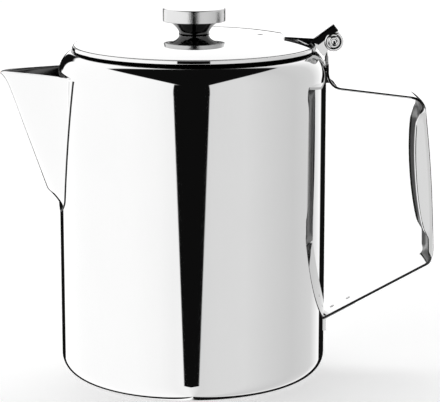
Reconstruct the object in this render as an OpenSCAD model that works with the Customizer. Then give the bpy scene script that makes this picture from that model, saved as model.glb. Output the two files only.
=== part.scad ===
// Stainless steel hinged-lid teapot.
// Millimetres, +Z up. The origin is the centre of the base, on the table.
// The spout points along -X and the handle along +X. The lid turns about a pin that runs along Y.

/* [Body] */
// Outside diameter of the drawn body
body_d = 130; // [104:1:160]
// Height at which the shoulder levels out round the mouth
mouth_h = 159.2; // [130:0.1:195]
// Sheet thickness of the body
body_t = 0.9; // [0.7:0.1:1.2]
// Radius of the rounded bottom edge
base_edge_r = 9; // [6:0.5:14]
// Radial width of the rounded shoulder
shoulder_w = 8.6; // [6:0.1:9]
// Height of the rounded shoulder
shoulder_h = 12.2; // [8:0.1:14]
// Height of the rolled bead round the mouth
mouth_bead_h = 0.6; // [0.4:0.1:0.8]
// Depth of the lip that turns down inside the mouth
mouth_lip = 3.2; // [2:0.1:5]
// Rise of the dished middle of the base
base_dish = 1.6; // [1:0.1:2.5]
// Width of the flat ring that the pot stands on
foot_ring_w = 8; // [5:0.5:10]

/* [Spout] */
// Height of the spout's rim below the mouth
spout_rim_drop = 10.6; // [10.4:0.1:16]
// Length of the seam from the rim down to the spout's foot
spout_len = 68; // [50:0.5:85]
// How far the lip reaches out from the body wall
spout_reach = 27.8; // [20:0.1:36]
// Half the width of the spout at its rim
spout_half_w = 31.2; // [24:0.1:36]
// Half the width of the spout where its foot starts to round
spout_foot_half_w = 18; // [12:0.5:24]
// How much the rim rises between the tip and the wall
spout_rim_rise = 0.9; // [0:0.1:2.5]
// Sheet thickness of the spout
spout_t = 0.9; // [0.7:0.1:1.2]
// Diameter of one strainer hole
strainer_hole_d = 3.2; // [2:0.1:3.8]
// Distance between strainer holes
strainer_pitch = 6; // [5:0.5:8]

/* [Lid] */
// How far the lid's edge stands in from the body wall
lid_inset = 6; // [4.5:0.1:7]
// How far the lid sits towards its hinge
lid_shift = 1; // [0:0.1:1.2]
// Sheet thickness of the lid
lid_t = 0.9; // [0.7:0.1:1.2]
// Rise of the lid's crown above its edge
lid_rise = 5.1; // [3:0.1:8]
// Height of the lid's hemmed edge
lid_edge_h = 1.7; // [1.3:0.1:2.4]
// Gap between the closed lid and the bead of the mouth
lid_gap = 0.3; // [0.2:0.1:0.6]
// Radial gap between the lid's locating skirt and the mouth lip
skirt_gap = 1.6; // [1.5:0.1:2.2]
// Depth of the locating skirt below the lid's edge
skirt_depth = 4.2; // [3:0.1:6]
// Diameter of the steam vent
vent_d = 3; // [2:0.1:3.8]
// Distance of the steam vent from the lid's centre
vent_x = 32; // [24:1:36]

/* [Knob] */
// Diameter of the knob's cap
knob_d = 30.2; // [24:0.1:38]
// Height of the knob's cap
knob_cap_h = 6.4; // [5:0.1:9]
// Height of the neck below the cap
knob_neck_h = 6.3; // [5.5:0.1:10]
// Diameter of the neck where it stands on the lid
knob_neck_d = 15; // [12:0.1:17]
// Sheet thickness of the knob's cap
knob_t = 0.8; // [0.6:0.1:1.2]
// Diameter of the screw that holds the knob
screw_d = 4; // [3:0.5:5]

/* [Hinge] */
// Distance of the hinge pin outside the body wall
hinge_out = 3; // [2.6:0.1:4]
// Height of the hinge pin above the mouth
hinge_up = 4.5; // [4.3:0.1:6]
// Outside diameter of the hinge knuckles
knuckle_d = 9.4; // [9:0.1:10]
// Diameter of the hollow hinge pin
pin_d = 7; // [6:0.1:7.2]
// Diameter of the hole along the pin
pin_hole_d = 3; // [2:0.1:4]
// Radial running clearance on the pin
pin_clearance = 0.06; // [0.03:0.01:0.09]
// Width of the lid's hinge leaf
leaf_w = 17; // [15:0.5:20]
// Sheet thickness of the hinge leaf
leaf_t = 1.2; // [1:0.1:1.5]
// Width of the middle knuckle, which belongs to the handle
mid_knuckle_w = 9; // [7:0.5:10]
// Side gap between neighbouring knuckles
knuckle_gap = 0.3; // [0.2:0.1:0.5]
// Angle of the thumb piece above the horizontal
thumb_angle = 36; // [28:1:45]
// Length of the thumb piece
thumb_len = 11.8; // [9:0.1:14]

/* [Handle] */
// Width of the handle strap
strap_w = 20; // [16:0.5:26]
// Thickness of the handle strap
strap_t = 1.2; // [1:0.1:1.8]
// How far the grip stands out from the body wall
handle_reach = 54.5; // [44:0.1:64]
// Height of the lower end of the strap
handle_root_h = 26.2; // [22:0.1:40]
// Depth of the upper arm below the mouth, at the body wall
arm_drop = 17.1; // [16:0.1:22]
// Height of the lower outer corner of the grip
grip_foot_h = 55; // [50:0.1:66]
// Depth of the curled sides of the grip
grip_depth = 7.2; // [4:0.1:9]
// Outer radius of the handle's corners
corner_r = 9.5; // [7:0.5:12]
// Width of the two welds between the strap's edges and the body wall
weld_w = 3.5; // [2.5:0.5:5]

/* [Lower bracket] */
// Width of the bracket under the lower end of the strap
bracket_w = 14; // [10:0.5:18]
// Sheet thickness of the bracket
bracket_t = 1.2; // [1:0.1:1.6]
// Length of the bracket's tongue along the strap
bracket_len = 17; // [15:0.5:22]
// Height of the bracket's leg on the body wall
bracket_leg_h = 6; // [4:0.5:10]
// Diameter of the rivets through the strap and the bracket
rivet_d = 2.2; // [1.8:0.1:3]
// Distance between the rivets
rivet_pitch = 9; // [7:0.5:10]

/* [Hidden] */

$fn = 96;
smooth_fn = 180;                           // facets of the large round pieces
trim_fn = 360;                             // facets of round shapes that only trim other pieces
steel = [0.78, 0.79, 0.8];
satin = [0.66, 0.67, 0.68];

body_r = body_d / 2;
inner_r = body_r - body_t;
shoulder_r = body_r - shoulder_w;          // radius where the shoulder levels out
mouth_r = shoulder_r - 2 * body_t;         // clear radius of the mouth
bead_z = mouth_h + mouth_bead_h;
wall_top = mouth_h - shoulder_h;           // where the straight wall ends
lid_r = body_r - lid_inset;
lid_edge_z = bead_z + lid_gap;             // underside of the lid's edge
lid_rim_z = lid_edge_z + lid_edge_h;       // top of the lid's edge
lid_top_z = lid_rim_z + lid_rise;
lid_power = 3.8;                           // how flat the crown is before it falls to the edge
hem_w = 3.8;                               // radial width of the hemmed edge
skirt_r = mouth_r - skirt_gap;
skirt_t = lid_t;

hinge_x = body_r + hinge_out;
hinge_z = mouth_h + hinge_up;
knuckle_r = knuckle_d / 2;
pin_r = pin_d / 2;
bore_r = pin_r + pin_clearance;
side_knuckle_w = (leaf_w - mid_knuckle_w) / 2 - knuckle_gap;

strap_in_x = body_r + 0.05;                // inner face of the riser
strap_out_x = strap_in_x + strap_t;

spout_rim_z = mouth_h - spout_rim_drop;
spout_foot_z = spout_rim_z - spout_len;
spout_seat_r = body_r + 0.03;              // the seam stands just clear of the wall's facets

// ---------------------------------------------------------------- 2D helpers
// A path is a list of [x, z, heading]; the strip it carries lies to the right of the heading.
function unit(v) = v / norm(v);
function turn_of(a, b) = let (d = b - a) d > 180 ? d - 360 : d < -180 ? d + 360 : d;
function heading_of(p, q) = atan2(q[1] - p[1], q[0] - p[0]);

// The arc that rounds corner q between p and s, as path points.
function corner(p, q, s, r, n) =
    let (h0 = heading_of(p, q), turn = turn_of(h0, heading_of(q, s)),
         cut = r * tan(abs(turn) / 2), start = q - cut * unit(q - p),
         side = turn > 0 ? 1 : -1,
         centre = start + side * r * [-sin(h0), cos(h0)])
    [for (i = [0 : n]) let (h = h0 + turn * i / n)
        [centre[0] + side * r * sin(h), centre[1] - side * r * cos(h), h]];

function reversed(points) = [for (i = [len(points) - 1 : -1 : 0]) points[i]];
function path_point(p, h) = [p[0], p[1], h];
function right_of(p, d) = [p[0] + d * sin(p[2]), p[1] - d * cos(p[2])];
function strip_points(path, d0, d1) =
    concat([for (p = path) right_of(p, d0)], [for (p = reversed(path)) right_of(p, d1)]);

// Extrudes an XZ outline along Y, centred on the XZ plane.
module slab(w) {
    rotate([90, 0, 0]) linear_extrude(w, center = true) children();
}

// ---------------------------------------------------------------- body
shoulder_steps = 14;
base_steps = 12;
function shoulder_outline(r0, w, h, n) =
    [for (i = [0 : n]) let (a = 90 * i / n) [r0 + w * cos(a), wall_top + h * sin(a)]];

function base_edge_outline(r, n) =
    [for (i = [0 : n]) let (a = -90 + 90 * i / n)
        [body_r - base_edge_r + r * cos(a), base_edge_r + r * sin(a)]];

function body_outline() =
    let (foot_in = body_r - base_edge_r - foot_ring_w, dish_in = foot_in - 3 * base_dish,
         t = body_t)
    concat([[0, base_dish], [dish_in, base_dish], [foot_in, 0]],
           base_edge_outline(base_edge_r, base_steps),
           shoulder_outline(shoulder_r, shoulder_w, shoulder_h, shoulder_steps),
           [for (i = [0 : 8]) let (a = 22.5 * i)
               [mouth_r + t + t * cos(a), mouth_h + mouth_bead_h * sin(a)]],
           [[mouth_r, mouth_h - mouth_lip], [mouth_r + t, mouth_h - mouth_lip], [mouth_r + t, mouth_h - t]],
           reversed(shoulder_outline(shoulder_r, shoulder_w - t, shoulder_h - t, shoulder_steps)),
           reversed(base_edge_outline(base_edge_r - t, base_steps)),
           [[foot_in + t / 2, t], [dish_in + t / 2, base_dish + t], [0, base_dish + t]]);

// Rows of holes through the wall behind the spout, every second row shifted by half a pitch.
module strainer_holes() {
    rows = 8;
    row_h = strainer_pitch * sin(60);
    step = 360 * strainer_pitch / (PI * body_d);
    first_z = spout_foot_z + 16;
    for (row = [0 : rows - 1], col = [-2 : 2]) {
        shifted = row % 2;
        if (!(shifted == 1 && col == 2))
            rotate([0, 0, 180 + (col + shifted / 2) * step])
                translate([body_r - 2 * body_t, 0, first_z + row * row_h])
                    rotate([0, 90, 0])
                        cylinder(h = 4 * body_t, d = strainer_hole_d, $fn = 24);
    }
}

module body_shell() {
    color(steel) difference() {
        rotate_extrude($fn = smooth_fn) polygon(body_outline());
        strainer_holes();
    }
}

// ---------------------------------------------------------------- spout
// s runs from 0 at the foot to 1 at the rim, along the height.
function spout_z(s) = spout_foot_z + spout_len * s;
foot_s = 0.13;                             // share of the height in which the foot rounds off
function foot_round(s) = s >= foot_s ? 1 : sqrt(1 - pow(1 - s / foot_s, 2));
function spout_seam_y(s) =
    (spout_foot_half_w + (spout_half_w - spout_foot_half_w) * pow(s, 1.15)) * foot_round(s);
lip_flare = 2;                             // extra reach of the pouring lip
foot_flat_s = 0.06;                        // share of the height in which the foot lies flat on the wall
function foot_rise(s) = pow(max(0, min(1, (s - foot_flat_s) / 0.105)), 0.9);
nose_start = 2.2;                          // reach of the nose line where it leaves the foot
function nose_reach(s) = nose_start + (spout_reach - nose_start - lip_flare) * s + lip_flare * pow(s, 30);
function spout_out(s) = foot_round(s) * max(0.6 * spout_t, nose_reach(s) * foot_rise(s));
// The rim stands higher beside the tip than at the tip and at the wall.
function rim_bump(s, t) = spout_rim_rise * pow(s, 6) * pow(sin(180 * pow(abs(t), 0.6)), 0.8);
function nose_shape(t, s) =
    let (a = 0.25 + 0.5 * (1 - s), g = (sqrt(t * t + a * a) - a) / (sqrt(1 + a * a) - a))
    1 - pow(1 - g, 1 + 0.7 * s);
function seam_x(y) = -sqrt(spout_seat_r * spout_seat_r - y * y);
// One point of the spout's outer face: t runs from -1 to 1 across it.
function spout_point(s, t) =
    let (w = spout_seam_y(s), y = w * t, tip = -(spout_seat_r + spout_out(s)),
         edge = seam_x(w), x = tip + (edge - tip) * nose_shape(abs(t), s))
    [min(x, seam_x(y)), y, spout_z(s) + rim_bump(s, t)];
// The same point moved inwards by the sheet thickness, square to the face.
function spout_normal(s, t) =
    let (d = 0.01, u = spout_point(min(s + d, 1), t) - spout_point(max(s - d, 0.001), t),
         v = spout_point(s, min(t + d, 1)) - spout_point(s, max(t - d, -1)))
    unit(cross(u, v));
function inner_spout_point(s, t) =
    let (p = spout_point(s, t), n = spout_normal(s, t), q = p + spout_t * n,
         keep = min(q[0], -sqrt(max(0, spout_seat_r * spout_seat_r - q[1] * q[1]))))
    [keep, q[1], p[2]];

module spout() {
    rings = 26;
    across = 32;
    row = across + 1;
    levels = [for (k = [0 : rings]) 0.012 + 0.988 * pow(k / rings, 1.25)];
    ts = [for (j = [0 : across]) -1 + 2 * j / across];
    outer = [for (s = levels, t = ts) spout_point(s, t)];
    inner = [for (s = levels, t = ts) inner_spout_point(s, t)];
    n = len(outer);
    skin = [for (k = [0 : rings - 1], j = [0 : across - 1]) let (a = k * row + j)
        each [[a, a + row, a + row + 1], [a, a + row + 1, a + 1]]];
    lining = [for (f = skin) [f[0] + n, f[2] + n, f[1] + n]];
    side_a = [for (k = [0 : rings - 1]) let (a = k * row)
        each [[a, a + n, a + row + n], [a, a + row + n, a + row]]];
    side_b = [for (k = [0 : rings - 1]) let (a = k * row + across)
        each [[a, a + row, a + row + n], [a, a + row + n, a + n]]];
    foot = [for (j = [0 : across - 1]) each [[j, j + 1, j + 1 + n], [j, j + 1 + n, j + n]]];
    rim = [for (j = [0 : across - 1]) let (a = rings * row + j)
        each [[a, a + n, a + 1 + n], [a, a + 1 + n, a + 1]]];
    color(steel) polyhedron(concat(outer, inner), concat(skin, lining, side_a, side_b, foot, rim));
}

// ---------------------------------------------------------------- handle
// Corners of the strap's outer face, from the hinge knuckle to the lower end.
function arm_z(x) = mouth_h - arm_drop - 0.129 * (x - strap_out_x);
grip_x = body_r + handle_reach;
top_corner_x = grip_x - 6;
h_top = [strap_out_x, hinge_z - sqrt(pow(bore_r + 0.3, 2) - pow(hinge_x - strap_out_x, 2))];
h_root = [strap_out_x, arm_z(strap_out_x)];
h_upper = [top_corner_x, arm_z(top_corner_x)];
h_mid = [grip_x - 1, (arm_z(top_corner_x) + grip_foot_h) / 2];
h_lower = [grip_x, grip_foot_h];
h_end = [body_r - 1, handle_root_h - (grip_foot_h - handle_root_h) / (grip_x - body_r)];
bend_r = 6.5;
bow_r = 600;
arm_heading = heading_of(h_lower, h_end);

root_bend = corner(h_top, h_root, h_upper, bend_r, 8);
top_bend = corner(h_root, h_upper, h_mid, corner_r, 10);
foot_bend = corner(h_mid, h_lower, h_end, corner_r - 0.5, 10);
handle_path = concat([path_point(h_top, -90)], root_bend, top_bend,
    corner(h_upper, h_mid, h_lower, bow_r, 8), foot_bend, [path_point(h_end, arm_heading)]);

// The curled sides of the grip: lens shapes that run between the two outer corners.
grip_top = top_bend[len(top_bend) - 1];
grip_end = foot_bend[0];
grip_path = concat([grip_top], corner(h_upper, h_mid, h_lower, bow_r, 20), [grip_end]);
function grip_share(p) = max(0, min(1, (grip_top[1] - p[1]) / (grip_top[1] - grip_end[1])));
function grip_side_depth(p) =
    let (s = grip_share(p)) strap_t / 2 + (grip_depth - strap_t / 2) * pow(4 * s * (1 - s), 0.6);
grip_dense = [for (i = [0 : len(grip_path) - 2], f = [0 : 0.25 : 0.99])
    grip_path[i] + (grip_path[i + 1] - grip_path[i]) * f];

module strap_profile() {
    polygon(strip_points(handle_path, 0, strap_t));
}

module grip_side() {
    polygon(concat([for (p = grip_dense) right_of(p, 0.2)],
        [for (p = reversed(grip_dense)) right_of(p, grip_side_depth(p))]));
}

// Where a rivet crosses the lower arm, as a point on its outer face.
function rivet_at(i) =
    let (u = unit(h_lower - h_end), first_x = strap_out_x + 3.8,
         along = (first_x - h_end[0]) / u[0] + i * rivet_pitch)
    h_end + u * along;

module along_rivets(z0, h, d) {
    for (i = [0 : 1]) let (p = rivet_at(i))
        translate([p[0], 0, p[1]]) rotate([0, -atan2(h_lower[1] - h_end[1], h_lower[0] - h_end[0]), 0])
            translate([0, 0, z0]) cylinder(h = h, d = d, $fn = 32);
}

module body_blank(r) {
    translate([0, 0, -1]) cylinder(h = mouth_h + 30, r = r, $fn = trim_fn);
}

module handle_strap() {
    knuckle_top = h_top[1];
    color(steel) difference() {
        union() {
            // full-width strap below the knuckle, a narrow tongue up to it
            difference() {
                slab(strap_w) strap_profile();
                for (side = [-1, 1])
                    translate([strap_in_x - 2, side > 0 ? mid_knuckle_w / 2 : -strap_w, wall_top + 6])
                        cube([strap_t + 4, strap_w - mid_knuckle_w / 2, knuckle_top - wall_top]);
            }
            for (side = [-1, 1])
                translate([0, side * (strap_w - strap_t) / 2, 0]) slab(strap_t) grip_side();
            translate([hinge_x, 0, hinge_z]) rotate([90, 0, 0])
                cylinder(h = mid_knuckle_w, r = knuckle_r, center = true);
        }
        translate([hinge_x, 0, hinge_z]) rotate([90, 0, 0])
            cylinder(h = strap_w + 2, r = pin_r, center = true);
        body_blank(body_r);
        along_rivets(-1, strap_t + 2, rivet_d);
    }
}

// The body's outside as a solid, used to trim what is welded to it.
module body_envelope() {
    rotate_extrude($fn = trim_fn)
        polygon(concat([[0, -1], [body_r, -1]],
            shoulder_outline(shoulder_r, shoulder_w, shoulder_h, shoulder_steps), [[0, mouth_h]]));
}

// Welds along both edges of the flat strap, between its first bend and the round wall.
weld_inset = 0.5;                          // how far the welds stand in from the strap's edges
module handle_weld() {
    bend = [for (i = [0 : 3]) right_of(root_bend[i], strap_t)];
    back_x = body_r - 4;
    top = bend[0][1] + 1.2;
    color(satin) difference() {
        for (side = [-1, 1])
            translate([0, side * ((strap_w - weld_w) / 2 - weld_inset), 0])
                slab(weld_w)
                    polygon(concat([[back_x, top], [strap_in_x, top]], bend, [[back_x, bend[3][1]]]));
        body_envelope();
    }
}

module lower_bracket() {
    tongue_end = h_end + unit(h_lower - h_end) * (bracket_len + 1);
    tongue = [path_point(tongue_end, arm_heading), path_point(h_end, arm_heading)];
    leg_top = right_of(path_point(h_end, arm_heading), -bracket_t)[1] + 0.6;
    color(steel) difference() {
        union() {
            slab(bracket_w) polygon(strip_points(tongue, -bracket_t, 0));
            intersection() {
                cylinder(h = mouth_h, r = body_r + bracket_t, $fn = smooth_fn);
                translate([body_r - 5, -bracket_w / 2, leg_top - bracket_leg_h])
                    cube([8, bracket_w, bracket_leg_h]);
            }
        }
        body_blank(body_r);
        along_rivets(-bracket_t - 1, strap_t + bracket_t + 2, rivet_d);
    }
}

module lower_rivets() {
    head_h = 0.7;
    color(satin) union() {
        along_rivets(-bracket_t, strap_t + bracket_t, rivet_d);
        along_rivets(-bracket_t - head_h, head_h, rivet_d + 1.6);
        along_rivets(strap_t, 0.15, rivet_d);
    }
}

// ---------------------------------------------------------------- hinge pin
pin_len = leaf_w + 0.8;
module hinge_pin() {
    color(steel) translate([hinge_x, 0, hinge_z]) rotate([90, 0, 0]) difference() {
        cylinder(h = pin_len, r = pin_r, center = true);
        cylinder(h = pin_len + 2, d = pin_hole_d, center = true, $fn = 48);
    }
}

// ---------------------------------------------------------------- lid
function crown_z(r) = lid_rim_z + lid_rise * (1 - pow(r / lid_r, lid_power));
function crown_outline(dz, r_end, n) =
    [for (i = [0 : n]) let (r = r_end * sin(90 * i / n)) [r, crown_z(r) + dz]];

function lid_outline() =
    let (r_in = lid_r - hem_w, edge_round = 0.35, n = 22)
    concat(crown_outline(0, lid_r - edge_round, n),
           [[lid_r, lid_rim_z - edge_round], [lid_r, lid_edge_z + edge_round],
            [lid_r - edge_round, lid_edge_z], [r_in, lid_edge_z], [r_in, crown_z(r_in) - lid_t]],
           [for (i = [n - 1 : -1 : 0]) crown_outline(-lid_t, r_in, n)[i]]);

// Everything that is round about the lid's own axis.
module on_lid_axis() {
    translate([lid_shift, 0, 0]) children();
}

module lid_shell() {
    color(steel) on_lid_axis() difference() {
        rotate_extrude($fn = smooth_fn) polygon(lid_outline());
        translate([vent_x, 0, lid_edge_z]) cylinder(h = lid_rise + 4, d = vent_d, $fn = 32);
        translate([0, 0, lid_edge_z]) cylinder(h = lid_rise + 4, d = screw_d + 0.4, $fn = 48);
    }
}

// Solid under the lid's top face, used to trim what stands on the lid.
module lid_blank() {
    on_lid_axis() rotate_extrude($fn = smooth_fn)
        polygon(concat(crown_outline(0, lid_r, 22), [[lid_r, lid_edge_z - 20], [0, lid_edge_z - 20]]));
}

// Ring welded under the lid that drops inside the mouth.
module lid_skirt() {
    top = crown_z(skirt_r) - lid_t;
    color(satin) on_lid_axis() difference() {
        translate([0, 0, lid_edge_z - skirt_depth])
            cylinder(h = top - lid_edge_z + skirt_depth, r = skirt_r, $fn = smooth_fn);
        translate([0, 0, lid_edge_z - skirt_depth - 1])
            cylinder(h = top - lid_edge_z + skirt_depth + 2, r = skirt_r - skirt_t, $fn = smooth_fn);
    }
}

// ---------------------------------------------------------------- hinge leaf
// Corners of the leaf's top face: front end, bend, tip of the thumb piece.
leaf_front = [lid_r - 15, crown_z(lid_r - 15 - lid_shift) + leaf_t - 0.3];
leaf_bend = [lid_r - 0.7, leaf_front[1] - 0.9];
thumb_tip = leaf_bend + thumb_len * [cos(thumb_angle), sin(thumb_angle)];
thumb_out = [sin(thumb_angle), -cos(thumb_angle)];   // square to the thumb piece, down and out
leaf_path = concat([path_point(leaf_front, 0)],
    corner(leaf_front, leaf_bend, thumb_tip, 2, 6), [path_point(thumb_tip, thumb_angle)]);

// Side cheek of the leaf: it closes the side of the thumb piece and carries the pin.
module cheek_profile() {
    heel = [hinge_x - knuckle_r - 2.6, hinge_z - 1.2];
    web_foot = [hinge_x - 4.8, hinge_z - 7.3];         // lowest corner, just clear of the shoulder
    difference() {
        union() {
            polygon([leaf_front, leaf_bend, heel, [lid_r - 1, lid_rim_z - 1], [leaf_front[0], lid_rim_z]]);
            polygon([leaf_bend, [lid_r + lid_shift - 0.5, lid_edge_z + 0.4], web_foot, web_foot + [1.2, 0.9],
                web_foot + [1.3, 3.6], heel + [3, 2]]);
            polygon([leaf_bend, thumb_tip, thumb_tip + 3.9 * thumb_out,
                [hinge_x - 1.5, hinge_z + knuckle_r - 0.6],
                [hinge_x - knuckle_r + 0.8, hinge_z - 1.6], heel]);
            translate([hinge_x, hinge_z]) circle(r = knuckle_r);
        }
        // window between the thumb piece and the knuckle
        polygon([heel + [1.6, 1.9], heel + [5.4, 4.3], heel + [3.2, 1.3]]);
    }
}

module hinge_leaf() {
    color(steel) difference() {
        union() {
            slab(leaf_w) polygon(strip_points(leaf_path, 0, leaf_t));
            for (side = [-1, 1]) {
                translate([0, side * (leaf_w - leaf_t) / 2, 0]) slab(leaf_t) cheek_profile();
                translate([hinge_x, side * (leaf_w - side_knuckle_w) / 2, hinge_z]) rotate([90, 0, 0])
                    cylinder(h = side_knuckle_w, r = knuckle_r, center = true);
            }
        }
        lid_blank();
        translate([hinge_x, 0, hinge_z]) rotate([90, 0, 0])
            cylinder(h = leaf_w + 2, r = bore_r, center = true);
    }
}

// ---------------------------------------------------------------- knob
neck_r = knob_neck_d / 2;
knob_r = knob_d / 2;
cap_z = lid_top_z + knob_neck_h;           // lower edge of the cap
plug_r = knob_r - knob_t;                  // disc that closes the cap
plug_t = 1;

function neck_outline() =
    let (waist = neck_r - 0.3, n = 12)
    concat([[0, lid_top_z], [neck_r, lid_top_z]],
           [for (i = [0 : n]) let (f = i / n)
               [waist + (plug_r - 2.2 - waist) * pow(f, 2.2), lid_top_z + 0.5 + (knob_neck_h - 0.5) * f]],
           [[plug_r, cap_z + 0.4], [plug_r, cap_z + 0.4 + plug_t], [0, cap_z + 0.4 + plug_t]]);

module knob_stem() {
    color(steel) on_lid_axis() difference() {
        rotate_extrude($fn = 120) polygon(neck_outline());
        translate([0, 0, lid_top_z - 1]) cylinder(h = knob_neck_h, d = screw_d, $fn = 48);
    }
}

module knob_cap() {
    soft = 0.7;
    top = cap_z + knob_cap_h;
    n = 6;
    color(steel) on_lid_axis() rotate_extrude($fn = 120) polygon(concat(
        [[0, top + 0.25], [knob_r * 0.5, top + 0.18]],
        [for (i = [0 : n]) let (a = 90 - 90 * i / n)
            [knob_r - soft + soft * cos(a), top - soft + soft * sin(a)]],
        [[knob_r, cap_z + 0.3], [knob_r - 0.3, cap_z], [plug_r, cap_z], [plug_r, top - knob_t - 0.4],
         [plug_r - 0.4, top - knob_t], [0, top - knob_t]]));
}

washer_t = 0.8;
washer_z = lid_top_z - lid_t - washer_t;
module knob_washer() {
    color(satin) on_lid_axis() translate([0, 0, washer_z]) difference() {
        cylinder(h = washer_t, d = screw_d * 2.4, $fn = 48);
        translate([0, 0, -1]) cylinder(h = washer_t + 2, d = screw_d + 0.4, $fn = 48);
    }
}

module knob_screw() {
    head_h = 0.6 * screw_d;
    drive_d = 0.5 * screw_d;
    color(satin) on_lid_axis() difference() {
        union() {
            translate([0, 0, washer_z - head_h]) cylinder(h = head_h, d = screw_d * 1.9, $fn = 48);
            translate([0, 0, washer_z - 0.01])
                cylinder(h = washer_t + lid_t + 0.75 * knob_neck_h, d = screw_d, $fn = 48);
        }
        translate([0, 0, washer_z - head_h - 1]) cylinder(h = 1 + head_h / 2, d = drive_d, $fn = 6);
    }
}

body_shell();
spout();
handle_strap();
handle_weld();
lower_bracket();
lower_rivets();
hinge_pin();
lid_shell();
lid_skirt();
hinge_leaf();
knob_stem();
knob_cap();
knob_washer();
knob_screw();
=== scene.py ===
# %% [markdown]
# # A stainless steel teapot with a hinged lid
# The pot is made of a few pressed and spun sheets: a drawn body, a folded spout, a bent strap for
# a handle, a low lid on a hinge and a flat knob. The imported CAD model gives every place and size.
# This lesson remakes the polished sheets as smooth meshes, because a mirror shows every facet,
# and keeps the small CAD pieces such as the rivets, with finishes of their own.

# %% Load the frame
from math import atan2, cos, hypot, pi, radians, sin, sqrt, tan

import bmesh
import bpy
from mathutils import Matrix, Vector


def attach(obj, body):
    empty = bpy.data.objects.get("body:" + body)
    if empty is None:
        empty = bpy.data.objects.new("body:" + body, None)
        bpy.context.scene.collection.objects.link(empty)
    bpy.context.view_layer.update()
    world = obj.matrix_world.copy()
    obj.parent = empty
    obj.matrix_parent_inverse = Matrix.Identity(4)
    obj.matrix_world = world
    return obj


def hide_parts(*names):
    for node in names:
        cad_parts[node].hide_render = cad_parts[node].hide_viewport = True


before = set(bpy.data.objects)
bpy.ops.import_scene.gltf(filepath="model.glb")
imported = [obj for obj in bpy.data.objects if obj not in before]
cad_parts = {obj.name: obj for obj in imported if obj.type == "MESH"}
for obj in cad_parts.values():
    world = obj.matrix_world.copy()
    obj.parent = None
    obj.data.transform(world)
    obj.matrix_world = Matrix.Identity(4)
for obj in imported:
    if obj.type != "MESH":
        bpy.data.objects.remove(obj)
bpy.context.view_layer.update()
scene = bpy.context.scene

# %% [markdown]
# ## Sizes of the pot
# All lengths here are millimetres, as a sheet-metal worker would write them. The model itself is in
# metres, so one helper turns a point from millimetres into metres when a vertex is placed.

# %% Sizes
SHEET = 0.9
BODY_R, MOUTH_Z, SHOULDER_W, SHOULDER_H = 65.0, 159.2, 8.6, 12.2
WALL_TOP = MOUTH_Z - SHOULDER_H
EDGE_R, FOOT_W, DISH, BEAD = 9.0, 8.0, 1.6, 0.6
MOUTH_R = BODY_R - SHOULDER_W - 2 * SHEET
LID_R, LID_SHIFT, LID_EDGE_Z, LID_EDGE_H, LID_RISE = 59.0, 1.0, 160.1, 1.7, 5.1
LID_RIM_Z = LID_EDGE_Z + LID_EDGE_H
LID_TOP_Z = LID_RIM_Z + LID_RISE
PIN_X, PIN_Z, KNUCKLE_R, PIN_R, PIN_PLAY = 68.0, 163.7, 4.7, 3.5, 0.06
STRAP_W, STRAP_T = 20.0, 1.2


def at(x, y, z):
    """A point given in millimetres, as the model's metres."""
    return Vector((x, y, z)) * 0.001


print("straight wall ends at", WALL_TOP, "mm, lid's crown is at", LID_TOP_Z, "mm")

# %% [markdown]
# ## Turning a bmesh into a piece
# Every piece is built in a bmesh and becomes an object that sits at the origin, with its place in its
# vertices. Faces are shaded smooth, and only edges sharper than a set angle are kept crisp, which is
# what a polished edge needs: a mirror with flat shading looks like a disco ball.


# %% Finish a piece
def piece(name, bm, crisp=32.0):
    """Makes the bmesh an object with smooth faces and crisp edges above that angle."""
    for face in bm.faces:
        face.smooth = True
    for edge in bm.edges:
        if len(edge.link_faces) == 2:
            edge.smooth = edge.calc_face_angle(0.0) < radians(crisp)
    mesh = bpy.data.meshes.new(name)
    bm.to_mesh(mesh)
    bm.free()
    obj = bpy.data.objects.new(name, mesh)
    scene.collection.objects.link(obj)
    print(name, len(mesh.polygons), "faces")
    return obj


# %% [markdown]
# ## Sheets get their thickness last
# A bent sheet is easiest to shape while it is a grid without thickness. The Solidify modifier then
# gives it its second side, and a narrow Bevel takes the sharpness off its cut edges, as a polisher
# does with a wheel.

# %% Thicken a sheet and dress its edges
CUT_EDGE = radians(50)


def thickened(obj, thickness, even=False):
    """Gives a grid the thickness of its sheet, inwards from its outer face."""
    wall = obj.modifiers.new("sheet", "SOLIDIFY")
    wall.thickness = thickness * 0.001
    wall.offset = -1.0
    wall.use_even_offset = even
    return wall


def dressed(obj, width, segments):
    """Rounds the cut edges of a sheet over a width in millimetres."""
    soft = obj.modifiers.new("dressed edges", "BEVEL")
    soft.width = width * 0.001
    soft.segments = segments
    soft.limit_method = "ANGLE"
    soft.angle_limit = CUT_EDGE


# %% [markdown]
# ## Round pieces are spun
# The body, the lid and the knob are round, so each is one outline turned about its axis, as it is on
# a spinning lathe. The outline is a list of (radius, height) points. Straight stretches get an extra
# point close to each end, which holds the smooth shading flat there, so that a long mirror wall
# does not bulge where it meets a round corner.


# %% Outline helpers
def arc(cr, cz, r, start, end, n, rz=None):
    """Points on an arc about (cr, cz), in degrees from the outward direction."""
    rz = r if rz is None else rz
    turns = [radians(start + (end - start) * i / n) for i in range(n + 1)]
    return [(cr + r * cos(a), cz + rz * sin(a)) for a in turns]


def held(points, gap=0.35, long=3.0):
    """The outline with a holding point near both ends of each long straight stretch."""
    out = []
    for a, b in zip(points, points[1:]):
        out.append(a)
        length = hypot(b[0] - a[0], b[1] - a[1])
        if length > long:
            for share in (gap / length, 1 - gap / length):
                out.append((a[0] + (b[0] - a[0]) * share, a[1] + (b[1] - a[1]) * share))
    return out + [points[-1]]


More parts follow.
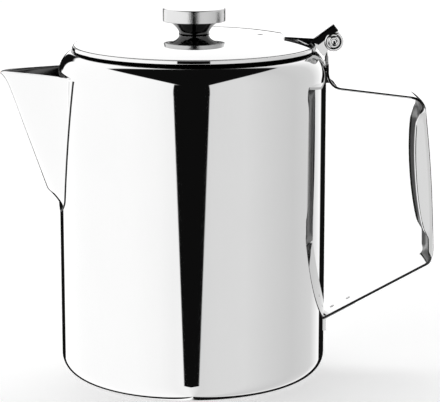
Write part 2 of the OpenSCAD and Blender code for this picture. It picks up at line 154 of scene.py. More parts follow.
def spun(name, outline, steps, axis_x=0.0, crisp=32.0):
    """Turns a closed or axis-to-axis outline about a vertical axis."""
    bm = bmesh.new()
    verts = [bm.verts.new(at(axis_x + r, 0, z)) for r, z in outline]
    for a, b in zip(verts, verts[1:]):
        bm.edges.new((a, b))
    if outline[0][0] > 0.01:
        bm.edges.new((verts[-1], verts[0]))
    bmesh.ops.spin(bm, geom=bm.verts[:] + bm.edges[:], cent=at(axis_x, 0, 0), axis=(0, 0, 1),
                   angle=2 * pi, steps=steps, use_merge=True)
    bmesh.ops.remove_doubles(bm, verts=bm.verts[:], dist=2e-6)
    bmesh.ops.recalc_face_normals(bm, faces=bm.faces[:])
    return piece(name, bm, crisp)


# %% [markdown]
# ## The body
# A real body of this kind is deep-drawn from a disc: the wall stays about 0.9 mm thick, the bottom
# edge is rounded, the base is dished so that it stands on a ring, and the top is necked in to a
# shoulder that ends in a rolled bead round the mouth. The outline below walks up the outside,
# over the bead and down the inside.

# %% Spin the body
FOOT_IN = BODY_R - EDGE_R - FOOT_W
DISH_IN = FOOT_IN - 3 * DISH
SHOULDER_R = BODY_R - SHOULDER_W
outside = ([(0, DISH), (DISH_IN - 2, DISH), (DISH_IN, DISH - 0.06), (FOOT_IN - 0.5, 0.08), (FOOT_IN + 1, 0.0)]
           + arc(BODY_R - EDGE_R, EDGE_R, EDGE_R, -90, 0, 16)
           + arc(SHOULDER_R, WALL_TOP, SHOULDER_W, 0, 84, 20, rz=SHOULDER_H))
bead = arc(MOUTH_R + SHEET, MOUTH_Z - 0.1, SHEET, 20, 180, 10, rz=BEAD + 0.1)
lip = [(MOUTH_R, MOUTH_Z - 3.2), (MOUTH_R + SHEET, MOUTH_Z - 3.2), (MOUTH_R + SHEET, MOUTH_Z - SHEET)]
inside = (arc(SHOULDER_R, WALL_TOP, SHOULDER_W - SHEET, 84, 0, 20, rz=SHOULDER_H - SHEET)
          + arc(BODY_R - EDGE_R, EDGE_R, EDGE_R - SHEET, 0, -90, 12)
          + [(FOOT_IN, SHEET), (DISH_IN, DISH + SHEET), (0, DISH + SHEET)])
body = spun("pot_body", held(outside) + bead + held(lip + inside), 200)
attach(body, "pot")
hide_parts("body_shell")

# %% [markdown]
# ## The strainer
# Behind the spout the wall is pierced with rows of small holes that hold the leaves back. They could
# be modelled face by face, but a Boolean modifier with one cutter made of many short rods is what
# a punch does, and it leaves the wall's own faces alone elsewhere.


# %% Punch the strainer
def rods(name, places, radius, length, sides=20):
    """One mesh of rods, each about a place and along a direction."""
    bm = bmesh.new()
    for place, direction in places:
        turn = Vector((0, 0, 1)).rotation_difference(direction).to_matrix().to_4x4()
        bmesh.ops.create_cone(bm, cap_ends=True, segments=sides, radius1=radius * 0.001,
                              radius2=radius * 0.001, depth=length * 0.001,
                              matrix=Matrix.Translation(place) @ turn)
    return piece(name, bm)


def punched(obj, cutter):
    """Cuts the cutter out of a piece and removes the cutter."""
    cut = obj.modifiers.new("punch", "BOOLEAN")
    cut.operation = "DIFFERENCE"
    cut.solver = "EXACT"
    cut.object = cutter
    bpy.context.view_layer.update()
    done = bpy.data.meshes.new_from_object(obj.evaluated_get(bpy.context.evaluated_depsgraph_get()))
    bm = bmesh.new()
    bm.from_mesh(done)
    for edge in bm.edges:
        if len(edge.link_faces) == 2 and edge.calc_face_angle(0.0) > radians(32):
            edge.smooth = False
    bm.to_mesh(done)
    bm.free()
    obj.modifiers.clear()
    obj.data = done
    bpy.data.objects.remove(cutter)
    print(obj.name, "has", len(done.polygons), "faces after punching")


SPOUT_FOOT_Z, SPOUT_LEN = 80.6, 68.0
PITCH = 6.0
row_step, col_step = PITCH * sin(radians(60)), PITCH / BODY_R
holes = []
for row in range(8):
    for col in range(-2, 3):
        if row % 2 and col == 2:
            continue
        turn = pi + (col + (row % 2) / 2) * col_step
        way = Vector((cos(turn), sin(turn), 0))
        holes.append((way * 0.0645 + at(0, 0, SPOUT_FOOT_Z + 16 + row * row_step), way))
punched(body, rods("strainer_punch", holes, 1.6, 4.0))

# %% [markdown]
# ## The spout
# The spout is one sheet folded to a V, open at the top and welded to the wall along two seams that
# close in a small U at the foot. A grid is bent into that shape: one direction runs up the spout,
# the other from seam to seam round the nose. The grid is cheap to shape, and the thickness comes
# afterwards from Solidify, the way a sheet gets its second side.

# %% Bend the spout from a grid
REACH, HALF_W, FOOT_HALF_W, FLARE, RIM_RISE, SPOUT_T = 27.8, 31.2, 18.0, 2.0, 0.9, 0.85
SEAT_R = BODY_R + 0.03


def foot_round(s):
    return 1.0 if s >= 0.13 else sqrt(max(0.0, 1 - (1 - s / 0.13) ** 2))


def spout_point(s, t):
    """A point of the spout's outer face: s runs up it and t from one seam (-1) to the other (1)."""
    width = (FOOT_HALF_W + (HALF_W - FOOT_HALF_W) * s ** 1.15) * foot_round(s)
    rise = max(0.0, min(1.0, (s - 0.06) / 0.105)) ** 0.9
    reach = foot_round(s) * max(0.6 * SHEET, (2.2 + (REACH - 2.2 - FLARE) * s + FLARE * s ** 30) * rise)
    y = width * t
    edge = -sqrt(SEAT_R ** 2 - width ** 2)
    a = 0.25 + 0.5 * (1 - s)
    g = (sqrt(t * t + a * a) - a) / (sqrt(1 + a * a) - a)
    shape = 1 - (1 - g) ** (1 + 0.7 * s)
    tip = -(SEAT_R + reach)
    bump = RIM_RISE * s ** 6 * sin(pi * abs(t) ** 0.6) ** 0.8 if 0 < abs(t) < 1 else 0.0
    x = min(tip + (edge - tip) * shape, -sqrt(SEAT_R ** 2 - y * y))
    return x, y, SPOUT_FOOT_Z + SPOUT_LEN * s + bump


bm = bmesh.new()
bmesh.ops.create_grid(bm, x_segments=72, y_segments=64, size=1.0)
for v in bm.verts:
    up = (v.co.x + 1) / 2
    v.co = at(*spout_point(0.012 + 0.988 * up ** 1.2, v.co.y))
bmesh.ops.remove_doubles(bm, verts=bm.verts[:], dist=1e-6)
bmesh.ops.recalc_face_normals(bm, faces=bm.faces[:])
if sum((f.normal.x for f in bm.faces)) > 0:
    bmesh.ops.reverse_faces(bm, faces=bm.faces[:])
spout = piece("pouring_spout", bm, 60)
spout_wall = thickened(spout, SPOUT_T)
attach(spout, "pot")
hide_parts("spout")

# %% [markdown]
# ### The spout's seams
# The spout is welded on from the outside, and polishing leaves a narrow dull bead in the corner where
# the two sheets meet. A small round profile carried along the seam is enough for it.

# %% Run the weld beads
def swept(name, points, radius, sides=10):
    """A round bead that follows a list of points."""
    bm = bmesh.new()
    previous = None
    for k, point in enumerate(points):
        ahead = points[min(k + 1, len(points) - 1)] - points[max(k - 1, 0)]
        turn = ahead.to_track_quat("Z", "X").to_matrix().to_4x4()
        ring = bmesh.ops.create_circle(bm, segments=sides, radius=radius,
                                       matrix=Matrix.Translation(point) @ turn)
        edges = list({e for v in ring["verts"] for e in v.link_edges})
        if previous:
            bmesh.ops.bridge_loops(bm, edges=previous + edges)
        else:
            bmesh.ops.contextual_create(bm, geom=edges)
        previous = edges
    bmesh.ops.contextual_create(bm, geom=previous)
    bmesh.ops.recalc_face_normals(bm, faces=bm.faces[:])
    return piece(name, bm, 60)


seam = []
for t in (-1, 1):
    run = [spout_point(0.02 + 0.98 * (i / 44) ** 1.3, t) for i in range(45)]
    seam += [run if t < 0 else run[::-1]]
beads = swept("spout_seam", [at(*p) for p in seam[0][::-1] + seam[1][::-1]], 0.00042)
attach(beads, "pot")

# %% [markdown]
# ## The lid
# The lid is pressed from one disc. Its crown is almost flat in the middle and falls away towards a
# hemmed edge. The outline follows a high power of the radius, which gives that plateau.


# %% Spin the lid and pierce its vent
def crown(r):
    """Height of the lid's top face at a radius."""
    return LID_RIM_Z + LID_RISE * (1 - (r / LID_R) ** 3.8)


GROOVE_R = LID_R - 0.95
radii = [GROOVE_R * sin(radians(90 * i / 40)) for i in range(41)]
top_face = [(r, crown(r)) for r in radii]
top_face += [(GROOVE_R + 0.06, crown(GROOVE_R) - 0.5), (GROOVE_R + 0.42, crown(GROOVE_R) - 0.6),
             (GROOVE_R + 0.46, LID_RIM_Z + 0.02), (GROOVE_R + 0.56, LID_RIM_Z + 0.1)]
HEM_IN = LID_R - 3.8
edge = held(arc(LID_R - 0.3, LID_RIM_Z - 0.2, 0.3, 60, 0, 5)
            + arc(LID_R - 0.25, LID_EDGE_Z + 0.25, 0.25, 0, -90, 5) + [(HEM_IN, LID_EDGE_Z)], 0.06, 0.8)
edge.append((HEM_IN, crown(HEM_IN) - SHEET))
under = [(r, crown(r) - SHEET) for r in reversed(radii) if r < HEM_IN - 0.5]
lid = spun("lid_dome", top_face + edge + under, 200, axis_x=LID_SHIFT, crisp=50)
punched(lid, rods("vent_punch", [(at(LID_SHIFT + 32, 0, 166), Vector((0, 0, 1)))], 1.5, 8.0, 32))
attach(lid, "lid")
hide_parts("lid_shell")

# %% [markdown]
# ## The knob
# The knob is two turned pieces: a neck that flares up like a trumpet into a disc, and a flat cap
# with an upright, finely turned side. Both are spun outlines with a small radius on each rim,
# since a real edge always catches a thin line of light.

# %% Spin the knob
NECK_R, KNOB_R, NECK_H, CAP_H = 7.5, 15.1, 6.3, 6.4
PLUG_R = KNOB_R - 0.8
cap_z = LID_TOP_Z + NECK_H
flare = [(NECK_R - 0.3 + (PLUG_R - 1.9 - NECK_R) * (i / 24) ** 1.6, LID_TOP_Z + 0.5 + (NECK_H - 0.5) * i / 24)
         for i in range(25)]
neck = ([(0, LID_TOP_Z + 0.05), (NECK_R - 0.25, LID_TOP_Z + 0.05), (NECK_R, LID_TOP_Z + 0.2)] + flare
        + [(PLUG_R, cap_z + 0.4), (PLUG_R, cap_z + 1.4), (0, cap_z + 1.4)])
stem = spun("knob_neck", held(neck, 0.2, 2.0), 128, axis_x=LID_SHIFT)
cap_top = cap_z + CAP_H
cap = ([(0, cap_top + 0.25), (KNOB_R * 0.5, cap_top + 0.18), (KNOB_R - 1.1, cap_top + 0.02)]
       + arc(KNOB_R - 0.7, cap_top - 0.7, 0.7, 90, 0, 8)
       + arc(KNOB_R - 0.3, cap_z + 0.3, 0.3, 0, -90, 4)
       + [(PLUG_R, cap_z), (PLUG_R, cap_top - 1.2), (PLUG_R - 0.4, cap_top - 0.8), (0, cap_top - 0.8)])
knob = spun("knob_cap_turned", held(cap, 0.25, 2.0), 128, axis_x=LID_SHIFT)
for obj, node, finish in ((stem, "knob_stem", "polished_steel"), (knob, "knob_cap", "turned_steel")):
    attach(obj, "lid")
    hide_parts(node)

# %% [markdown]
# ## The handle
# The handle is a single strip. It hugs the wall, bends out into the upper arm, runs down the grip
# and comes back to the foot of the wall. Along the grip both sides are curled towards the pot, so
# that no edge cuts the hand. A path of points with headings is worked out first. Then a grid
# is laid along it: each row of the grid is one cross-section, flat on the arms and curled on the grip.


# %% The path of the strap
def bend(p, q, s, r, n):
    """Path points (x, z, heading) on the arc that rounds corner q between p and s."""
    p, q, s = Vector(p), Vector(q), Vector(s)
    h0 = atan2((q - p).y, (q - p).x)
    turn = atan2((s - q).y, (s - q).x) - h0
    turn = (turn + pi) % (2 * pi) - pi
    side = 1 if turn > 0 else -1
    start = q - (q - p).normalized() * r * tan(abs(turn) / 2)
    centre = start + side * r * Vector((-sin(h0), cos(h0)))
    return [(centre.x + side * r * sin(h0 + turn * i / n), centre.y - side * r * cos(h0 + turn * i / n),
             h0 + turn * i / n) for i in range(n + 1)]


RISER_X = BODY_R + 0.05 + STRAP_T
GRIP_X = BODY_R + 54.5


def arm_z(x):
    return MOUTH_Z - 17.1 - 0.129 * (x - RISER_X)


top_corner = (GRIP_X - 6, arm_z(GRIP_X - 6))
root = (RISER_X, arm_z(RISER_X))
foot_corner = (GRIP_X, 55.0)
middle = (GRIP_X - 1.0, (top_corner[1] + foot_corner[1]) / 2)
ROOT_Z = 26.2
tail = (BODY_R - 1, ROOT_Z - (foot_corner[1] - ROOT_Z) / (GRIP_X - BODY_R))
riser_top = (RISER_X, 153.0)
BOW_R, ROOT_R, TOP_R, FOOT_R = 600, 6.5, 9.5, 9.0
path = ([(*riser_top, -pi / 2), (RISER_X, 152.6, -pi / 2), (RISER_X, 151.8, -pi / 2)]
        + bend(riser_top, root, top_corner, ROOT_R, 16)
        + bend(root, top_corner, middle, TOP_R, 18) + bend(top_corner, middle, foot_corner, BOW_R, 40)
        + bend(middle, foot_corner, tail, FOOT_R, 20)
        + [(*tail, atan2(tail[1] - foot_corner[1], tail[0] - GRIP_X))])


def spaced(points, step):
    """The path with long stretches divided, so that the sheet bends evenly."""
    out = []
    for a, b in zip(points, points[1:]):
        n = max(1, int(hypot(b[0] - a[0], b[1] - a[1]) / step))
        out += [tuple(a[k] + (b[k] - a[k]) * i / n for k in range(3)) for i in range(n)]
    return out + [points[-1]]


path = spaced(path, 2.0)
print("the strap's path has", len(path), "stations")

# %% [markdown]
# ### Cross-sections of the strap
# The grip's sides follow a lens: they start at nothing at the upper corner, are deepest a third
# of the way down and vanish at the lower corner. The sheet turns through a small bend radius,
# and the curled sides lean a little outwards, which is how a press leaves them.

# %% Lay the strap along the path
GRIP_TOP_Z, GRIP_END_Z = 133.0, 64.0
FLAT, CROWN_R, CROWN_TURN, CURL_R, CURL_TURN = 0.2, 22.0, radians(18), 3.0, radians(66)
HEM_R, HEM_TURN, GRIP_SPARE = 0.9, radians(62), 6.3


def smooth_step(v):
    v = max(0.0, min(1.0, v))
    return v * v * (3 - 2 * v)


def half_section(lens, steps=60):
    """The section's half outline on the grip: points (y, depth) from the middle to the free edge."""
    half = STRAP_W / 2 + GRIP_SPARE * lens
    fullness = smooth_step(lens * 1.5)
    hem = HEM_TURN * fullness
    crown_end = FLAT + CROWN_R * CROWN_TURN
    y = depth = 0.0
    out = [(0.0, 0.0)]
    for i in range(steps):
        run = half * (i + 0.5) / steps
        turn = (fullness * min(CROWN_TURN, max(0.0, run - FLAT) / CROWN_R)
                + fullness * min(CURL_TURN, max(0.0, run - crown_end) / CURL_R)
                + max(0.0, hem - (half - run) / HEM_R))
        y += cos(turn) * half / steps
        depth += sin(turn) * half / steps
        out.append((y, depth))
    return out


def section(share, x, z, heading):
    """A point across the strap: share runs from -1 to 1, from one edge to the other."""
    f = (GRIP_TOP_Z - z) / (GRIP_TOP_Z - GRIP_END_Z) if x > GRIP_X - 12 else 0.0
    lens = (4 * f * (1 - f)) ** 0.6 if 0 < f < 1 else 0.0
    if x > GRIP_X - 12:
        lens = max(lens, 0.35 * smooth_step((z - 51.0) / 9.0) * smooth_step((138.0 - z) / 10.0))
    outline = half_section(lens)
    reach = abs(share) * (len(outline) - 1)
    k = min(int(reach), len(outline) - 2)
    y, depth = (a + (b - a) * (reach - k) for a, b in zip(outline[k], outline[k + 1]))
    hug = smooth_step((z - 142.5) / 8.0) if x < RISER_X + 14 else 0.0
    back = (BODY_R - sqrt(BODY_R ** 2 - y * y)) * hug
    y = y if share > 0 else -y
    return x + depth * sin(heading) - back, y, z - depth * cos(heading)


ACROSS = 72
bm = bmesh.new()
bmesh.ops.create_grid(bm, x_segments=len(path) - 1, y_segments=ACROSS, size=1.0)
for v in bm.verts:
    station = round((v.co.x + 1) / 2 * (len(path) - 1))
    v.co = at(*section(v.co.y, *path[station]))
bmesh.ops.recalc_face_normals(bm, faces=bm.faces[:])
outer = max(bm.faces, key=lambda f: f.calc_center_median().x)
if outer.normal.x < 0:
    bmesh.ops.reverse_faces(bm, faces=bm.faces[:])
UPPER, GRIP, LOWER = 0, 1, 2
for face in bm.faces:
    c = face.calc_center_median() * 1000
    face.material_index = LOWER if c.z < 53.5 else GRIP if c.x > 100 and c.z < 137.0 else UPPER
strap = piece("handle_strip", bm, 60)
strap_wall = thickened(strap, STRAP_T, even=True)
dressed(strap, 0.2, 3)
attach(strap, "pot")
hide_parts("handle_strap")

# %% [markdown]
# ### The eye of the hinge
# Above the riser the strip narrows to a tongue and is rolled into an eye round the pin. The tongue
# is a second short grid on a path that runs up and then once round the pin.

# %% Roll the eye
TONGUE_T, TONGUE_HALF_W = 1.15, 4.5
eye_arc = [(PIN_X + KNUCKLE_R * cos(a), PIN_Z + KNUCKLE_R * sin(a), a - pi / 2)
           for a in [radians(205 - 325 * i / 40) for i in range(41)]]
bm = bmesh.new()
rolled = spaced([(64.9, 152.6, 0), (64.85, 155.5, 0), (64.3, 158.5, 0), (63.75, 160.6, 0)], 1.0) + eye_arc
bmesh.ops.create_grid(bm, x_segments=len(rolled) - 1, y_segments=6, size=1.0)
for v in bm.verts:
    x, z, _ = rolled[round((v.co.x + 1) / 2 * (len(rolled) - 1))]
    v.co = at(x, v.co.y * TONGUE_HALF_W, z)
bmesh.ops.recalc_face_normals(bm, faces=bm.faces[:])
left = min(bm.faces, key=lambda f: f.calc_center_median().x)
if left.normal.x > 0:
    bmesh.ops.reverse_faces(bm, faces=bm.faces[:])
tongue = piece("hinge_eye", bm, 60)
thickened(tongue, TONGUE_T)
dressed(tongue, 0.2, 2)
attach(tongue, "pot")

# %% [markdown]
# ## The hinge leaf
# The lid's leaf is a pressed strip: it lies on the lid, kicks up into a thumb piece and has a cheek
# on each side that reaches down to the pin. The strip is a short path given a width. The cheeks are
# flat outlines with a thickness, and the knuckles are rings spun about the pin.

# %% Press the leaf
LEAF_W, LEAF_T = 17.0, 1.2
front = (LID_R - 15, crown(LID_R - 15 - LID_SHIFT) + LEAF_T - 0.3)
kink = (LID_R - 0.7, front[1] - 0.9)
thumb_turn = radians(36)
tip = (kink[0] + 11.8 * cos(thumb_turn), kink[1] + 11.8 * sin(thumb_turn))
leaf_path = spaced([(*front, 0), (front[0] + 0.4, front[1], 0)] + bend(front, kink, tip, 2.0, 8)
                   + [(tip[0] - 0.4 * cos(thumb_turn), tip[1] - 0.4 * sin(thumb_turn), 0), (*tip, 0)], 1.5)
bm = bmesh.new()
bmesh.ops.create_grid(bm, x_segments=len(leaf_path) - 1, y_segments=12, size=1.0)
for v in bm.verts:
    x, z, _ = leaf_path[round((v.co.x + 1) / 2 * (len(leaf_path) - 1))]
    v.co = at(x, v.co.y * LEAF_W / 2, z)
bmesh.ops.recalc_face_normals(bm, faces=bm.faces[:])
if sum((f.normal.z for f in bm.faces)) < 0:
    bmesh.ops.reverse_faces(bm, faces=bm.faces[:])
leaf = piece("lid_leaf", bm, 60)
thickened(leaf, LEAF_T)
dressed(leaf, 0.35, 3)

# %% [markdown]
# ### The cheeks
# Under the strip, each side has two flat plates: an upright band that follows the lid and the thumb
# piece, and a web that leans in under it and carries the knuckle. Each is a flat outline that is
# extruded by the thickness of the sheet.

# %% Cut the cheeks
down = Vector((sin(thumb_turn), -cos(thumb_turn)))
BAND, WEB_SLOPE = 3.9, 0.42
web = (PIN_X - 4.8, PIN_Z - 7.3)
rim_foot = (LID_R + 0.2, LID_RIM_Z - 0.7)
band_start = (kink[0] + BAND * down.x, kink[1] + BAND * down.y)
band_end = (tip[0] + BAND * down.x, tip[1] + BAND * down.y)
skirt = []
for i in range(7):
    x = front[0] + 0.5 + 2.1 * i
    low = front[1] - 0.3 - 2.6 * (x - front[0]) / (kink[0] - front[0])
    skirt.append((x, max(low, crown(hypot(x - LID_SHIFT, LEAF_W / 2)) - 0.05)))
plate = ([(front[0] + 0.2, front[1] - 0.3)] + skirt + [band_start, band_end, (tip[0] - 0.05, tip[1] - 0.1),
         (kink[0] + 0.6, kink[1] + 0.05), (kink[0] - 0.8, kink[1] - 0.05)])
web_plate = [(kink[0] + 0.4, kink[1] - 2.2), (rim_foot[0], rim_foot[1] + 0.3), web,
             (web[0] + 1.2, web[1] + 0.9), (PIN_X - 2.1, PIN_Z - 3.6), (PIN_X, PIN_Z - 3.0),
             (PIN_X + 2.0, PIN_Z + 1.0), band_end, band_start]


def web_lean(x, z):
    """How far the web leans in under the thumb piece's band."""
    line = band_start[1] + (band_end[1] - band_start[1]) * (x - band_start[0]) / (band_end[0] - band_start[0])
    return max(0.0, WEB_SLOPE * (line - z))


bm = bmesh.new()
for side in (-1, 1):
    for shape, lean in ((plate, 0.0), (web_plate, 1.0)):
        outline = [at(x, side * (LEAF_W / 2 - lean * web_lean(x, z)), z) for x, z in shape]
        face = bm.faces.new([bm.verts.new(point) for point in outline])
        grown = bmesh.ops.extrude_face_region(bm, geom=[face])
        moved = [g for g in grown["geom"] if isinstance(g, bmesh.types.BMVert)]
        bmesh.ops.translate(bm, verts=moved, vec=at(0, -side * LEAF_T, 0))
bmesh.ops.recalc_face_normals(bm, faces=bm.faces[:])
cheeks = piece("leaf_cheeks", bm, 40)
dressed(cheeks, 0.25, 2)

# %% [markdown]
# ### What turns on the pin
# The knuckles are the two rings of the leaf that turn on the pin. The pin is a hollow rivet: its two
# ends are rolled over into small domes round a dimple. All of them are profiles spun about the pin.


# %% Turn the knuckles and the pin
def on_the_pin(bm, profile, closed):
    """Spins a profile of (radius, y) points about the hinge pin."""
    verts = [bm.verts.new(at(PIN_X + r, y, PIN_Z)) for r, y in profile]
    pairs = list(zip(verts, verts[1:])) + ([(verts[-1], verts[0])] if closed else [])
    edges = [bm.edges.new(pair) for pair in pairs]
    bmesh.ops.spin(bm, geom=verts + edges, cent=at(PIN_X, 0, PIN_Z), axis=(0, 1, 0), angle=2 * pi, steps=64,
                   use_merge=True)


def sewn(bm):
    """Merges doubles and turns the faces outwards."""
    bmesh.ops.remove_doubles(bm, verts=bm.verts[:], dist=2e-6)
    bmesh.ops.recalc_face_normals(bm, faces=bm.faces[:])


bm = bmesh.new()
for side in (-1, 1):
    bore, soft_r = PIN_R + PIN_PLAY, 0.95
    rim = [(KNUCKLE_R - soft_r + soft_r * cos(a), LEAF_W / 2 + 0.25 - soft_r + soft_r * sin(a))
           for a in [radians(15 * i) for i in range(7)]]
    ring = [(bore, 4.8), (KNUCKLE_R - 0.2, 4.8), (KNUCKLE_R, 5.0)] + rim + [(bore, LEAF_W / 2 + 0.25)]
    on_the_pin(bm, [(r, side * y) for r, y in ring], closed=True)
sewn(bm)
knuckles = piece("leaf_knuckles", bm, 32)
half_dome = [(PIN_R - 0.02, LEAF_W / 2 - 0.2), (PIN_R - 0.1, LEAF_W / 2 - 0.05),
             (PIN_R - 0.55, LEAF_W / 2 - 0.1)]
half_dome += [(2.05 + 0.85 * cos(a), LEAF_W / 2 - 0.1 + 0.75 * sin(a))
              for a in [radians(15 * i) for i in range(1, 10)]]
half_dome += [(1.2, LEAF_W / 2 + 0.1), (1.05, LEAF_W / 2 - 0.6), (0.0, LEAF_W / 2 - 0.9)]
bm = bmesh.new()
on_the_pin(bm, [(r, -y) for r, y in reversed(half_dome)] + half_dome, closed=False)
sewn(bm)
pin = piece("rolled_pin", bm, 50)
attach(pin, "pot")
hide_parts("hinge_pin")
for obj in (leaf, cheeks, knuckles):
    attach(obj, "lid")
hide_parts("hinge_leaf")

# %% [markdown]
# ## Shader maths as Python
# A finish is a formula over the surface, so a small class wraps a node socket and lets + - * and /
# add Math nodes. One method makes any other node from its type, its settings and its inputs.


# %% A socket that does sums
class Val:
    """A node socket with arithmetic."""

    def __init__(self, tree, socket):
        self.tree, self.socket = tree, socket

    def node(self, kind, settings=None, out=0, **inputs):
        """Adds a node: settings first, then socket values or links, and returns one output."""
        made = self.tree.nodes.new(kind)
        for key, value in (settings or {}).items():
            if key == "stops":
                ramp = made.color_ramp
                while len(ramp.elements) < len(value):
                    ramp.elements.new(0.5)
                for element, (place, grey) in zip(ramp.elements, value):
                    element.position, element.color = place, (grey, grey, grey, 1)
            else:
                setattr(made, key, value)
        for key, value in inputs.items():
            slot = made.inputs[int(key[1:]) if key[1:].isdigit() else key.replace("_", " ")]
            if isinstance(value, Val):
                self.tree.links.new(value.socket, slot)
            else:
                slot.default_value = value
        return Val(self.tree, made.outputs[out])

    def maths(self, operation, *others):
        sockets = {f"i{k}": v for k, v in enumerate((self, *others))}
        return self.node("ShaderNodeMath", {"operation": operation}, **sockets)

    def __add__(self, other):
        return self.maths("ADD", other)

    def __mul__(self, other):
        return self.maths("MULTIPLY", other)

    def __sub__(self, other):
        return self.maths("SUBTRACT", other)

    def __truediv__(self, other):
        return self.maths("DIVIDE", other)

    def __rsub__(self, other):
        return (self * -1.0) + other

    __radd__, __rmul__ = __add__, __mul__

    def above(self, edge, soft=0.01):
        """0 below the edge and 1 above it, with a soft step."""
        limits = {"From_Min": edge - soft, "From_Max": edge + soft}
        return self.node("ShaderNodeMapRange", {"interpolation_type": "SMOOTHSTEP"}, Value=self, **limits)

    def mix(self, a, b):
        """Colour a where this is 0 and colour b where it is 1."""
        return self.node("ShaderNodeMix", {"data_type": "RGBA"}, out=2, i0=self, i6=a, i7=b)


# %% [markdown]
# ## Finishes
# Polished steel is a clean mirror, but never a perfect one: polishing leaves hairlines and slow waves
# in the gloss. All of it is read from Object coordinates, so it stays the same size everywhere.
# The finishes share one recipe and differ in tone, in how rough they are and in the grain that they carry.
# Some tones are painted: the near-black neck and cut edges are painted dark reflection, and the dark insides,
# grip channel and crevices are painted shade.


# %% Make the finishes
def grey(value):
    return (value, value, value, 1)


def steel(name, tone, rough, spread, grain, bump):
    """A steel finish: tone, roughness, how much it wanders, grain scale in (x, y, z), bump height."""
    material = bpy.data.materials.new(name)
    material.use_nodes = True
    tree = material.node_tree
    shader = tree.nodes["Principled BSDF"]
    shader.inputs["Metallic"].default_value = 1.0
    place = Val(tree, tree.nodes.new("ShaderNodeTexCoord").outputs["Object"])
    cloud = place.node("ShaderNodeTexNoise", Vector=place, Scale=38.0, Detail=3.0)
    stretched = place.node("ShaderNodeMapping", Vector=place, Scale=grain)
    hair = place.node("ShaderNodeTexNoise", Vector=stretched, Scale=1.0, Detail=4.0, Roughness=0.7)
    colour = (cloud * 0.6 + hair * 0.4).mix(grey(tone - 0.015), grey(tone + 0.015))
    wander = (cloud - 0.5) * spread + (hair - 0.5) * (spread * 0.8) + rough
    tree.links.new(colour.socket, shader.inputs["Base Color"])
    tree.links.new(wander.socket, shader.inputs["Roughness"])
    relief = place.node("ShaderNodeBump", Height=hair, Strength=0.25, Distance=bump)
    tree.links.new(relief.socket, shader.inputs["Normal"])
    print("finish", name)
    return material


polished = steel("polished steel", 0.60, 0.03, 0.025, (900, 900, 120), 1e-6)
# The neck's steel is near black: a painted dark reflection that stands in for the dark surroundings its
# flared mirror face shows.
neck_painted_dark_reflection = steel("turned neck steel with painted dark reflection", 0.09, 0.08, 0.05, (500, 500, 1400), 6e-6)
satin = steel("satin steel", 0.5, 0.27, 0.12, (700, 700, 2600), 4e-6)
turned = steel("turned steel", 0.50, 0.11, 0.12, (1700, 1700, 2600), 2.4e-4)
welded = steel("weld steel", 0.025, 0.34, 0.22, (900, 900, 900), 6e-5)
# Near-black steel for the lid's groove, the underside of its hem and the top of the mouth's bead: painted
# shade in the crevices and in the gap under the lid.
crevice_painted_shade = steel("crevice steel", 0.02, 0.3, 0.2, (900, 900, 900), 2e-5)
# The inside of the grip's channel is brushed steel, and its darker tone is painted shade inside the curled
# channel.
grip_inside_brushed_and_shaded = steel("brushed inside of the grip with painted shade", 0.24, 0.34, 0.12, (1800, 1800, 60), 3e-6)
# Near-black steel for the strap's cut edges: a painted dark reflection along the edges.
edge_painted_dark_reflection = steel("sheared edge with painted dark reflection", 0.035, 0.25, 0.1, (900, 900, 900), 4e-6)
# The insides are rougher, unpolished steel, and their very dark tone is painted shade inside the pot and the
# spout.
dull_and_shaded_inside = steel("unpolished inside with painted shade", 0.10, 0.22, 0.15, (300, 300, 900), 8e-6)

for obj in (body, spout, lid, tongue, leaf, cheeks, knuckles, pin):
    obj.data.materials.clear()
    obj.data.materials.append(polished)
# The knob's neck takes the near-black finish, a painted dark reflection.
for obj, finish in ((beads, welded), (stem, neck_painted_dark_reflection), (knob, turned)):
    obj.data.materials.append(finish)


def refinish(obj, finish, chosen):
    """Gives the faces that pass the test a second finish."""
    obj.data.materials.append(finish)
    index = len(obj.data.materials) - 1
    picked = [f for f in obj.data.polygons if chosen(f.center * 1000, f.normal)]
    for face in picked:
        face.material_index = index
    print(obj.name, len(picked), "faces in", finish.name)


def inside_body(c, n):
    faces_axis = n.x * c.x + n.y * c.y < -0.5 * hypot(c.x, c.y)
    return faces_axis or (n.z > 0.5 and c.z < 12) or (n.z < -0.2 and c.z > 100)


def under_lid(c, n):
    return n.z < -0.3


# The faces of the lid's groove and of its hem's underside, which take the painted shade.
def lid_painted_shade_faces(c, n):
    r = hypot(c.x - LID_SHIFT, c.y)
    return (GROOVE_R < r < GROOVE_R + 0.47 and c.z > LID_RIM_Z - 0.5) or (r > HEM_IN and n.z < -0.3)


# The inside of the body gets the unpolished finish with its painted shade.
refinish(body, dull_and_shaded_inside, inside_body)
# The top of the mouth's bead, under the lid's rim, is painted near black: painted shade in the gap under the
# lid.
refinish(body, crevice_painted_shade, lambda c, n: c.z > MOUTH_Z - 0.35 and n.z > -0.2)
refinish(lid, satin, under_lid)
# The lid's groove and the underside of its hem get the painted shade.
refinish(lid, crevice_painted_shade, lid_painted_shade_faces)

# %% [markdown]
# Solidify can give the second side and the cut edge of a sheet their own finish: it adds an offset to the
# material number of each face. The strap has three stretches, so its finishes come in threes: the
# outer side of the upper arm, the grip and the lower arm, then the inner side, then the cut edge.

# %% Finish the insides and the cut edges
# The spout's inner side gets the unpolished finish with its painted shade.
spout.data.materials.append(dull_and_shaded_inside)
spout_wall.material_offset = 1
# The grip's inner side gets brushed steel with painted shade.
outer_side, inner_side, cut_edge = ([polished] * 3, [polished, grip_inside_brushed_and_shaded, polished],
                                    [polished, edge_painted_dark_reflection, edge_painted_dark_reflection])
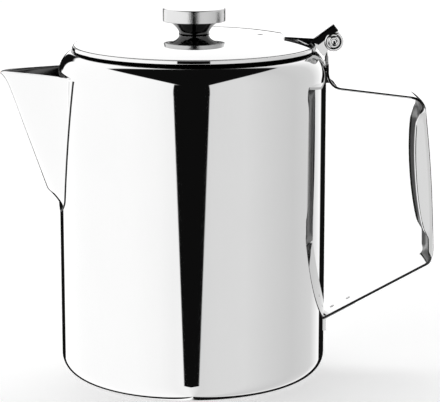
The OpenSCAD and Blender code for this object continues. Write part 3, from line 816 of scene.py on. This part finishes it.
# The cut edges of the grip and the lower arm get the near-black painted dark reflection.
for finish in outer_side + inner_side + cut_edge:
    strap.data.materials.append(finish)
strap_wall.material_offset = 3
strap_wall.material_offset_rim = 6
CAD_FINISH = {"handle_weld": welded, "lower_bracket": polished, "lower_rivets": satin,
              "lid_skirt": satin, "knob_washer": satin, "knob_screw": satin}
for name, finish in CAD_FINISH.items():
    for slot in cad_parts[name].material_slots:
        slot.material = finish

# %% [markdown]
# ## The studio
# A mirror shows its surroundings and nothing else, so the studio is most of the look. Bright cards stand
# left and right, the right one a little dimmer. Between them is the dark gap where a camera stands,
# which opens upwards. Two narrow dark flags behind the pot draw its outline against the
# white background. All of it is painted on the world as soft-edged fields over direction.

# %% Paint the world
world = bpy.data.worlds.new("studio")
scene.world = world
world.use_nodes = True
tree = world.node_tree
sky = Val(tree, tree.nodes.new("ShaderNodeTexCoord").outputs["Generated"])
split = sky.node("ShaderNodeSeparateXYZ", Vector=sky)
dx, dy, dz = (Val(tree, split.socket.node.outputs[i]) for i in range(3))
azimuth = dx.maths("ARCTAN2", dy * -1.0) * (180 / pi)
elevation = dz.maths("ARCSINE") * (180 / pi)
GAIN = 1 / 0.60
card = azimuth.node("ShaderNodeValToRGB", {"stops": [
    (0.0, 0.93), (0.12, 0.97), (0.35, 0.96), (0.41, 0.93), (0.45, 0.88), (0.48, 0.9), (0.51, 0.66),
    (0.55, 0.68), (0.62, 0.69), (0.70, 0.62), (0.76, 0.58), (0.84, 0.62), (0.90, 0.9),
    (1.0, 0.93)]}, Fac=azimuth / 360 + 0.5)
drop = ((elevation * -1.0 - 8.8) / 7.2).maths("MAXIMUM", 0.0)
behind = 1 - elevation.above(0.0, 1.0)
in_gap = ((azimuth + 18.0 - drop * 7.0).above(0.0, 0.5) * (1 - (azimuth - 12.5 + drop * 8.2).above(0.0, 0.5))
          * (1 - elevation.above(25.0, 3.0)))
ridge = (dz - dx.maths("ABSOLUTE") * 0.85).above(0.2, 0.02) * (1 - dy.above(0.3, 0.05))


def between(low, high):
    """1 where the azimuth lies between two angles."""
    return (azimuth - low).above(0.0, 1.0) * (1 - (azimuth - high).above(0.0, 1.0))


flag_left = (between(-177.0, -153.0) * behind
             + between(-170.0, -150.0) * (1 - behind) * (1 - elevation.above(21.0, 2.0)))
lifted = (elevation + 8.0).maths("MAXIMUM", 0.0) * 0.65
flag_right = ((azimuth - 143.0 - lifted).above(0.0, 1.0)
              * (1 - (azimuth - 163.5 - behind * 14.5).above(0.0, 1.0)) * (1 - elevation.above(20.0, 2.0)))
dark = in_gap.maths("MAXIMUM", ridge).maths("MAXIMUM", flag_left).maths("MAXIMUM", flag_right)
back = tree.nodes["Background"]
seen = Val(tree, tree.nodes.new("ShaderNodeLightPath").outputs["Is Camera Ray"])
studio = dark.mix(card, (0.004, 0.004, 0.004, 1))
shown = seen.mix(studio, (1 / GAIN, 1 / GAIN, 1 / GAIN, 1))
tree.links.new(shown.socket, back.inputs["Color"])
back.inputs["Strength"].default_value = GAIN

# %% [markdown]
# ## The floor
# A plain pale floor carries the pot. It glows a little by itself, as a lit table does, so it stays
# almost white. Mirror rays pass it by and meet the painted studio instead.

# %% Lay the floor
bm = bmesh.new()
bmesh.ops.create_grid(bm, x_segments=1, y_segments=1, size=12.0)
floor = piece("floor", bm)
floor.location.z = -0.00005
table = bpy.data.materials.new("pale table")
table.use_nodes = True
paint = table.node_tree.nodes["Principled BSDF"]
paint.inputs["Base Color"].default_value = (0.9, 0.9, 0.9, 1)
paint.inputs["Roughness"].default_value = 0.8
paint.inputs["Specular IOR Level"].default_value = 0.0
paint.inputs["Emission Color"].default_value = (1, 1, 1, 1)
paint.inputs["Emission Strength"].default_value = 0.35
floor.data.materials.append(table)
floor.visible_glossy = False

# %% [markdown]
# ## The camera
# A long lens from about a metre away looks down at twelve degrees, almost square to the handle.

# %% Place the camera
lens = bpy.data.cameras.new("camera")
lens.sensor_width = 36.0
lens.lens = 164.2
camera = bpy.data.objects.new("camera", lens)
scene.collection.objects.link(camera)
scene.camera = camera
HEADING, PITCH_DOWN = radians(3.0), radians(11.92)
camera.location = at(-37.1, -965.9, 288.3)
look = Vector((sin(HEADING) * cos(PITCH_DOWN), cos(HEADING) * cos(PITCH_DOWN), -sin(PITCH_DOWN)))
camera.rotation_euler = look.to_track_quat("-Z", "Y").to_euler()
scene.view_settings.view_transform = "Standard"
